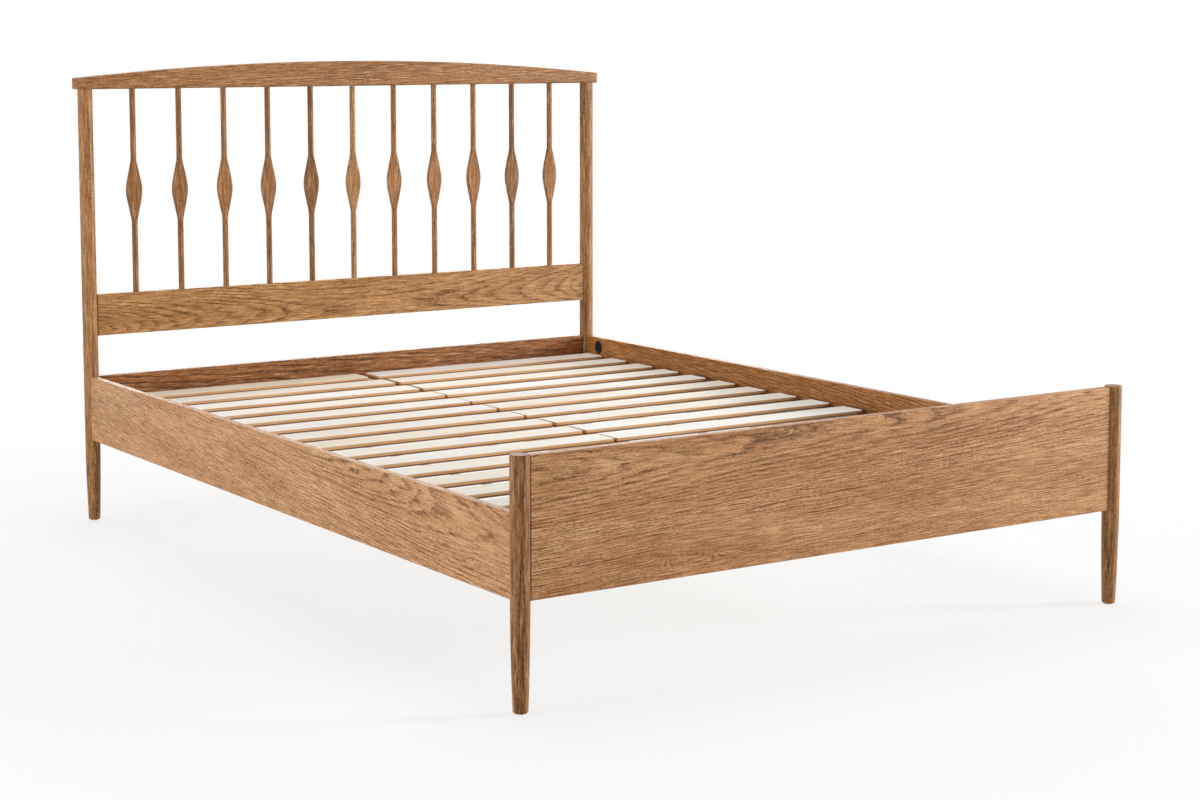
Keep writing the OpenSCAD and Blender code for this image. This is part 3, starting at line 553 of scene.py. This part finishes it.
def woven_tape():
    """Plain weave: threads pass over and under each other in a chequer of dots."""
    material, tree, surface = new_material("woven_cotton_tape")
    place = node(tree, "TexCoord", {}, "Object")
    waves = []
    for axis in "XY":
        across = node(tree, "SeparateXYZ", {0: place}, axis)
        phase = node(tree, "Math", {0: across, 1: math.pi / THREAD}, operation="MULTIPLY")
        waves.append(node(tree, "Math", {0: phase}, operation="SINE"))
    over = node(tree, "Math", {0: waves[0], 1: waves[1]}, operation="MULTIPLY")
    thread = node(tree, "MapRange", {"Value": over, 1: -1.0, 2: 1.0})
    fuzz = node(tree, "TexNoise", {"Vector": place, "Scale": FUZZ})
    lit = node(tree, "Math", {0: thread, 1: fuzz}, operation="MULTIPLY")
    tone = node(tree, "Mix", {"Factor": lit, "A": "#c9bfa8", "B": "#f0eadc"},
                "Result", data_type="RGBA")
    tree.links.new(tone, surface.inputs["Base Color"])
    bump = node(tree, "Bump", {"Height": thread, "Distance": 0.3 * MM, "Strength": 0.7})
    tree.links.new(bump, surface.inputs["Normal"])
    surface.inputs["Roughness"].default_value = 0.85
    surface.inputs["Sheen Weight"].default_value = 0.2
    return material


give("slat_tapes", woven_tape())
print("tape with", round(10 * MM / THREAD, 1), "threads to the centimetre")

# %% [markdown]
# ## Modelling helpers
# Turned parts, such as spindles, screws and caps, are the same on every side of an axis. One
# point is drawn out along half of their outline, and the outline is spun about the axis, as
# a lathe turns the wood. Parts that repeat are modelled once at the origin. Each is then
# copied to its place, and the place is put into the mesh, so that solid patterns such as
# grain lie differently in every copy.

# %% Turning
def alone(piece):
    """Selects one piece and nothing else."""
    bpy.ops.object.select_all(action="DESELECT")
    piece.select_set(True)
    bpy.context.view_layer.objects.active = piece


def turned(name, outline, steps):
    """Spins an outline of (radius, height) points in mm about Z into a closed solid."""
    bpy.ops.object.select_all(action="DESELECT")
    bpy.ops.mesh.primitive_plane_add(size=1 * MM)
    piece = bpy.context.object
    piece.name = piece.data.name = name
    bpy.ops.object.mode_set(mode="EDIT")
    bpy.ops.mesh.select_mode(type="VERT")
    bpy.ops.mesh.select_all(action="SELECT")
    bpy.ops.mesh.merge(type="CENTER")
    path = [Vector((radius * MM, 0, height * MM)) for radius, height in outline]
    bpy.ops.transform.translate(value=path[0])
    for here, there in zip(path, path[1:]):
        bpy.ops.mesh.extrude_vertices_move(TRANSFORM_OT_translate={"value": there - here})
    bpy.ops.mesh.select_all(action="SELECT")
    bpy.ops.mesh.spin(steps=steps, angle=2 * math.pi, center=(0, 0, 0), axis=(0, 0, 1))
    bpy.ops.mesh.select_all(action="SELECT")
    bpy.ops.mesh.remove_doubles(threshold=0.01 * MM)
    bpy.ops.mesh.normals_make_consistent(inside=False)
    bpy.ops.object.mode_set(mode="OBJECT")
    return piece


print("turned() spins an outline in mm into a solid")

# %% Picking and cutting
MODES = {"edges": "EDGE", "faces": "FACE"}


def pick(kind, keep):
    """In edit mode, selects only the edges or faces that pass a test."""
    bpy.ops.mesh.select_mode(type=MODES[kind])
    bpy.ops.mesh.select_all(action="DESELECT")
    shape = bmesh.from_edit_mesh(bpy.context.object.data)
    for part in getattr(shape, kind):
        if keep(part):
            part.select_set(True)
    bmesh.update_edit_mesh(bpy.context.object.data)


def cut(piece, cutter):
    """Cuts one solid out of another and throws the cutter away."""
    alone(piece)
    saw = piece.modifiers.new("saw", "BOOLEAN")
    saw.operation = "DIFFERENCE"
    saw.solver = "EXACT"
    saw.object = cutter
    bpy.ops.object.modifier_apply(modifier="saw")
    bpy.data.objects.remove(cutter)


print("pick() selects", " or ".join(MODES))

# %% Copying and dressing
def copied(piece, name, place, turn=(0, 0, 0)):
    """A copy with its own mesh, which holds its place and turn.

    It first turns about its own axis, Z, and then leans over about Y and X.
    """
    alone(piece)
    bpy.ops.object.duplicate()
    copy = bpy.context.object
    copy.name = copy.data.name = name
    copy.location = place
    copy.rotation_mode = "ZYX"
    copy.rotation_euler = [math.radians(angle) for angle in turn]
    bpy.ops.object.transform_apply(location=True, rotation=True, scale=True)
    return copy


def dressed(piece, material, body="root", smooth=30):
    """Smooths a piece up to an angle, gives it its finish, and hangs it on its body."""
    alone(piece)
    bpy.ops.object.shade_smooth_by_angle(angle=math.radians(smooth))
    piece.data.materials.clear()
    piece.data.materials.append(material)
    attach(piece, body)


# %% [markdown]
# ## Spindles
# Each spindle is a round rod that swells into a leaf. A real one is turned as a fat bead on
# a lathe and then planed hollow on its front and back, which leaves a thin leaf with crisp
# edges. It is made here in the same order: the bead is spun, and two very large cylinders
# cut the long shallow hollows. A leaf modelled as a flat plate would lose those edges, which
# are what catches the light.

# %% Turn a spindle and plane its leaf
low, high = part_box("spindle_01")
PIN_END = round((high.z - low.z) / 2 / MM, 3)    # from the middle to a pin's tip, in mm
PIN, PIN_LENGTH = 5.0, 12.0                      # radius and length of the pin at each end
ROD, ROD_END = 7.0, PIN_END - PIN_LENGTH         # radius of the rod, and where it ends
BEAD = 19.3                                      # radius of the bead at its middle
CROWN, CROWN_CURVE = 20.0, 100.0                 # half-length and radius of its round middle
LEAF_HALF = 5.35                                 # half of the wood that the hollows leave
HOLLOW = 1549.0                                  # radius of a hollow, which ends at the rod
half_profile = [(BEAD - z * z / (2 * CROWN_CURVE), z) for z in (0, 5, 10, 15, CROWN)]
half_profile += [(15.3, 30), (12.3, 45), (9.3, 60), (8.3, 65), (7.55, 69.5), (7.15, 73.5),
                 (ROD, 78), (ROD, 120), (ROD, ROD_END), (PIN, ROD_END), (PIN, PIN_END - 0.5),
                 (PIN - 0.5, PIN_END), (0, PIN_END)]
outline = [(radius, -z) for radius, z in reversed(half_profile)] + half_profile[1:]
spindle = turned("spindle", outline, 48)
for side in (-1, 1):
    bpy.ops.object.select_all(action="DESELECT")
    # so many sides that each is only 8 mm long on so large a cylinder
    bpy.ops.mesh.primitive_cylinder_add(vertices=1200, radius=HOLLOW * MM, depth=60 * MM,
                                        location=(0, side * (HOLLOW + LEAF_HALF) * MM, 0),
                                        rotation=(0, math.pi / 2, 0))
    cut(spindle, bpy.context.object)
print("a spindle of", len(spindle.data.polygons), "faces, its leaf",
      round(spindle.dimensions.x / MM, 1), "mm wide")

# %% Set the spindles along the headboard
LEAVES = (NUT, NUT, HONEY, NUT, DUSK, GOLD, HONEY, HONEY, HONEY, DUSK, HONEY)
for k, tones in enumerate(LEAVES):
    name = f"spindle_{k + 1:02d}"
    low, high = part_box(name)
    middle = (low + high) / 2
    piece = copied(spindle, name + "_turned", middle)
    wood = timber("oak_" + name, "z", tones, heart=(middle.x + 0.03, middle.y - 0.05),
                  lean=(0.05, 0.04), ring=5 * MM, figure=0.5, seed=50.0 + 3 * k)
    dressed(piece, wood, smooth=25)
    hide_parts(name)
bpy.data.objects.remove(spindle)
print(len(LEAVES), "spindles stand in the headboard")

# %% [markdown]
# ## Pocket caps
# Bolts in the rails are reached through round pockets inside the frame, and each pocket is
# closed by a moulded cap: a disc with a raised rim, a shallow dish and a slot to lift it by.

# %% Mould a cap and press it into each pocket
CAP = 17.35                    # radius in mm
CAP_LEVELS = (220.5, 317.5)    # heights of the two pockets at each corner
SLOT = (5.5, 9, 1.6)           # length, width and height of the block that cuts the slot
cap = turned("cap", [(0, 1.2), (11.5, 1.2), (12.4, 1.9), (15.6, 1.9), (16.4, 1.75), (17.1, 1.3),
                     (CAP, 0.7), (CAP, 0.0), (0, 0.0)], 64)
bpy.ops.object.select_all(action="DESELECT")
bpy.ops.mesh.primitive_cube_add(size=1, location=(14.6 * MM, 0, 1.8 * MM),
                                scale=[side * MM for side in SLOT])
cut(cap, bpy.context.object)
low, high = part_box("pocket_caps")
pockets = [(side, end, level) for side in (-1, 1) for end in (-1, 1) for level in CAP_LEVELS]
for k, (side, end, level) in enumerate(pockets):
    place = (side * high.x, end * (high.y - CAP * MM), level * MM)
    piece = copied(cap, f"pocket_cap_{k + 1}", place, (0, -90 * side, 0))
    dressed(piece, black)
    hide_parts("pocket_caps")
bpy.data.objects.remove(cap)
print(len(pockets), "caps, each", round(2 * CAP, 1), "mm across")

# %% [markdown]
# ## Wood screws
# The ledgers are held by countersunk screws and the brackets by round-headed ones. Both are
# turned from their outlines, and a tapered cross is cut into each head for the driver.

# %% Turn both kinds of screw
HEAD, SHANK = 4, 2                     # radius of a head and of a shank in mm
FLAT_LENGTH, FLAT_TIP = 44, 4          # a countersunk screw with its head, and its point
ROUND_LENGTH, ROUND_TIP = 13, 3        # a round-headed screw under its head, and its point
DOME = 2.4                             # height of a round head
CROSS = (4.4, 0.9, 3.2)                # length, width and height of a blade of the cross


def driver_cross(lift):
    """Two crossed blades that narrow downwards, where a driver fits."""
    blades = []
    for turn in (0, 90):
        bpy.ops.object.select_all(action="DESELECT")
        bpy.ops.mesh.primitive_cube_add(size=1, scale=[side * MM for side in CROSS])
        blade = bpy.context.object
        bpy.ops.object.transform_apply(location=False, rotation=False, scale=True)
        bpy.ops.object.mode_set(mode="EDIT")
        pick("faces", lambda face: face.normal.z < -0.9)
        bpy.ops.transform.resize(value=(0.35, 0.6, 1))
        bpy.ops.object.mode_set(mode="OBJECT")
        blade.rotation_euler.z = math.radians(turn)
        bpy.ops.object.transform_apply(rotation=True)
        blade.location.z = lift * MM
        blades.append(blade)
    return blades


flat_screw = turned("flat_screw", [(0, 0), (HEAD - 0.4, 0), (HEAD, -0.25), (SHANK, -2.4),
                                   (SHANK, FLAT_TIP - FLAT_LENGTH), (0, -FLAT_LENGTH)], 32)
round_screw = turned("round_screw", [(0, DOME), (1.4, 2.25), (2.6, 1.75), (3.5, 0.95), (HEAD, 0),
                                     (SHANK, 0), (SHANK, ROUND_TIP - ROUND_LENGTH),
                                     (0, -ROUND_LENGTH)], 32)
for screw, top in ((flat_screw, 0), (round_screw, DOME)):
    for blade in driver_cross(top):
        cut(screw, blade)
print("screws of", len(flat_screw.data.polygons), "and", len(round_screw.data.polygons), "faces")

# %% Drive the screws through each ledger
PER_LEDGER = 6
low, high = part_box("ledger_screws")
first, last = low.y + HEAD * MM, high.y - HEAD * MM
apart = (last - first) / (PER_LEDGER - 1)
for side, name in ((-1, "left"), (1, "right")):
    for k in range(PER_LEDGER):
        place = (side * (high.x - FLAT_LENGTH * MM), first + k * apart, (low.z + high.z) / 2)
        # a driver leaves every cross at its own angle
        piece = copied(flat_screw, f"ledger_screw_{name}_{k + 1}", place,
                       (0, -90 * side, 7 + 31 * k))
        dressed(piece, zinc)
        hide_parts("ledger_screws")
bpy.data.objects.remove(flat_screw)
print(PER_LEDGER, "screws in each ledger,", round(apart / MM, 1), "mm apart")

# %% Drive four screws through each bracket
low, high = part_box("bracket_screws")
for end, name in ((-1, "foot"), (1, "head")):
    for side in (-1, 1):
        for k, level in enumerate((low.z + HEAD * MM, high.z - HEAD * MM)):
            place = (side * (high.x - HEAD * MM), end * (high.y - ROUND_LENGTH * MM), level)
            piece = copied(round_screw, f"bracket_screw_{name}_{2 * k + (side > 0) + 1}", place,
                           (90 * end, 0, 0))
            dressed(piece, zinc)
            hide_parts("bracket_screws")
bpy.data.objects.remove(round_screw)
print("the bracket screws go", ROUND_LENGTH, "mm deep")

# %% [markdown]
# ## Levelling foot
# The centre leg stands on a steel stem that screws in and out of it, so that the bed's
# middle rail just touches the slats. The stem has a coarse thread and a hexagon for a
# spanner. The thread is a three-sided ridge wound up the stem by a Screw modifier.

# %% Turn the stem and bevel its hexagon
STEM, STEM_FOOT, STEM_TOP = 4.5, 3.3, 56    # radius under the thread, and the two ends, in mm
HEX_CORNER, HEX_HEIGHT, HEX_MIDDLE = 9.81, 6, 14    # its middle is 14 mm above the floor
stem = turned("levelling_stem", [(0, STEM_FOOT), (STEM - 0.3, STEM_FOOT), (STEM, STEM_FOOT + 0.3),
                                 (STEM, STEM_TOP - 0.8), (STEM - 0.8, STEM_TOP),
                                 (0, STEM_TOP)], 40)
bpy.ops.object.select_all(action="DESELECT")
bpy.ops.mesh.primitive_cylinder_add(vertices=6, radius=HEX_CORNER * MM, depth=HEX_HEIGHT * MM,
                                    location=(0, 0, HEX_MIDDLE * MM),
                                    rotation=(0, 0, math.pi / 6))
hexagon = bpy.context.object
bpy.ops.object.mode_set(mode="EDIT")
pick("edges", lambda edge: abs(edge.verts[0].co.z - edge.verts[1].co.z) < 1e-6)
bpy.ops.mesh.bevel(offset=0.6 * MM, segments=2)
bpy.ops.object.mode_set(mode="OBJECT")
print("a hexagon", round(HEX_CORNER * math.sqrt(3), 1), "mm across its flats")

# %% Wind the thread
PITCH, TURNS, THREAD_FOOT = 1.5, 24, 18     # the foot is where the thread begins
RIDGE = 0.6                                 # radius of the three-sided ridge
bpy.ops.object.select_all(action="DESELECT")
bpy.ops.mesh.primitive_circle_add(vertices=3, radius=RIDGE * MM,
                                  location=((STEM - 0.05) * MM, 0, THREAD_FOOT * MM),
                                  rotation=(math.pi / 2, math.pi / 2, 0))
ridge = bpy.context.object
bpy.ops.object.transform_apply(location=True, rotation=True, scale=True)
winding = ridge.modifiers.new("winding", "SCREW")
winding.screw_offset = PITCH * MM
winding.iterations = TURNS
winding.steps = winding.render_steps = 24
bpy.ops.object.modifier_apply(modifier="winding")
# both ends of the ridge are still open, and get a face each
bpy.ops.object.mode_set(mode="EDIT")
bpy.ops.mesh.select_all(action="DESELECT")
bpy.ops.mesh.select_mode(type="EDGE")
bpy.ops.mesh.select_non_manifold()
bpy.ops.mesh.edge_face_add()
bpy.ops.mesh.select_all(action="SELECT")
bpy.ops.mesh.normals_make_consistent(inside=False)
bpy.ops.object.mode_set(mode="OBJECT")
print(TURNS, "turns of thread,", PITCH * TURNS, "mm long")

# %% Join the stem
bpy.ops.object.select_all(action="DESELECT")
for part in (hexagon, ridge, stem):
    part.select_set(True)
bpy.context.view_layer.objects.active = stem
bpy.ops.object.join()
bpy.ops.object.transform_apply(location=True, rotation=True, scale=True)
dressed(stem, zinc, body="leveller_stem")
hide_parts("leveller_stem")
print("a stem", round(stem.dimensions.z / MM, 1), "mm tall")

# %% [markdown]
# ## Studio
# The bed stands on a pale floor under soft light. Away from the bed the floor melts into a
# white surround. That full white is only seen by the camera, and in gloss and glass. The
# surround lights the bed with about a quarter of it, which softens the darkest shadows, and
# the lamps do the rest.

# %% Pale floor
SHADE_REACH, MELT_REACH = 0.9, 2.6    # the floor turns white between these distances
SHADE_MELT = 0.7                      # how much of the white already lies over it near the bed


def seen_ray(tree):
    """1 for rays from the camera, from gloss and through glass, and 0 for rays that light."""
    direct = node(tree, "Math", {0: node(tree, "LightPath", {}, "Is Camera Ray"),
                                 1: node(tree, "LightPath", {}, "Is Glossy Ray")},
                  operation="MAXIMUM")
    return node(tree, "Math", {0: direct, 1: node(tree, "LightPath", {}, "Is Transmission Ray")},
                operation="MAXIMUM")


def studio_paper():
    """Matt white paper, which shows the bed's shadow and turns to plain white further out."""
    material, tree, surface = new_material("studio_floor")
    surface.inputs["Base Color"].default_value = linear("#fbfbfb")
    surface.inputs["Roughness"].default_value = 0.9
    place = node(tree, "TexCoord", {}, "Object")
    reach = node(tree, "VectorMath", {0: place}, "Value", operation="LENGTH")
    far = node(tree, "MapRange",
               {"Value": reach, 1: SHADE_REACH, 2: MELT_REACH, 3: SHADE_MELT, 4: 1.0},
               interpolation_type="SMOOTHSTEP")
    melt = node(tree, "Math", {0: far, 1: seen_ray(tree)}, operation="MULTIPLY")
    white_out = node(tree, "Emission", {"Strength": 1.0})
    mixed = node(tree, "MixShader", {0: melt, 1: surface.outputs[0], 2: white_out})
    tree.links.new(mixed, tree.nodes["Material Output"].inputs["Surface"])
    return material


bpy.ops.object.select_all(action="DESELECT")
bpy.ops.mesh.primitive_plane_add(size=80)
floor = bpy.context.object
floor.name = "studio_floor"
floor.data.materials.append(studio_paper())
floor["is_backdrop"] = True
print("the floor is plain white from", MELT_REACH, "m out")

# %% White surround
FILL = 0.27    # how strongly the surround lights the bed
world = bpy.data.worlds.new("white_surround")
world.use_nodes = True
bpy.context.scene.world = world
sky = world.node_tree
strength = node(sky, "MapRange", {"Value": seen_ray(sky), 3: FILL, 4: 1.0})
sky.links.new(strength, sky.nodes["Background"].inputs["Strength"])
sky.nodes["Background"].inputs["Color"].default_value = (1, 1, 1, 1)
bpy.context.scene.view_settings.view_transform = "Standard"
print("the surround lights the bed with a strength of", FILL)

# %% [markdown]
# ### Lamps
# Soft lamps are large rectangles, because a wide source blurs its own shadows. The key stands
# at the right front and grazes the foot panel. The left lamp lights the long rail, the
# overhead lamp the slats, and the back lamp what the others miss. Between the key and the
# left lamp the round posts keep a darker core, which shows that they are round.

# %% Soft lamps
def softbox(name, place, aim, size, power):
    """A lamp that faces its aim, and that the camera doesn't see."""
    data = bpy.data.lights.new(name, "AREA")
    data.shape = "RECTANGLE"
    data.size, data.size_y = size
    data.energy = power
    lamp = bpy.data.objects.new(name, data)
    bpy.context.scene.collection.objects.link(lamp)
    lamp.location = place
    lamp.visible_camera = False
    lamp.rotation_euler = (Vector(aim) - Vector(place)).to_track_quat("-Z", "Y").to_euler()


# name, place, aim, size and power in watts
LAMPS = (("overhead", (0.2, 0.4, 3.8), (0, 0, 0.3), (3.0, 3.0), 70),
         ("back", (2.4, 4.8, 1.0), (0, 0, 0.4), (3.2, 1.6), 125),
         ("key", (7.3, -4.2, 1.7), (0, -0.4, 0.35), (1.8, 1.8), 640),
         ("left", (-5.5, 0.0, 0.8), (0, -0.2, 0.4), (2.4, 0.9), 128))
for lamp in LAMPS:
    softbox(*lamp)
print(len(LAMPS), "lamps,", sum(lamp[-1] for lamp in LAMPS), "watts in all")

# %% [markdown]
# ### Camera
# The camera stands off the left foot corner, a little above the headboard, and looks down by
# six degrees. A long lens keeps the far end of the bed from shrinking much. A small shift
# lifts the bed in the frame, so that the camera needn't tilt further and the posts stay
# nearly upright.

# %% Camera
PAN, TILT = -33.675, 5.950    # degrees: to the right of the bed's length, and down
camera_data = bpy.data.cameras.new("camera")
camera_data.sensor_width = 36
camera_data.lens = 70.04
camera_data.shift_y = -0.10
camera = bpy.data.objects.new("camera", camera_data)
bpy.context.scene.collection.objects.link(camera)
camera.location = (-2.7299, -4.2522, 1.1421)
camera.rotation_euler = (math.radians(90 - TILT), 0, math.radians(PAN))
bpy.context.scene.camera = camera
print("the camera is", round(camera.location.length, 2), "m from the middle of the bed's floor")

# %% [markdown]
# ## Finish
# The box of the finished model is measured and printed, which gives the size of the bed
# as it is finished.

# %% Measure the finished model
low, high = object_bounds()
print("the finished model measures", [round(side, 4) for side in high - low])
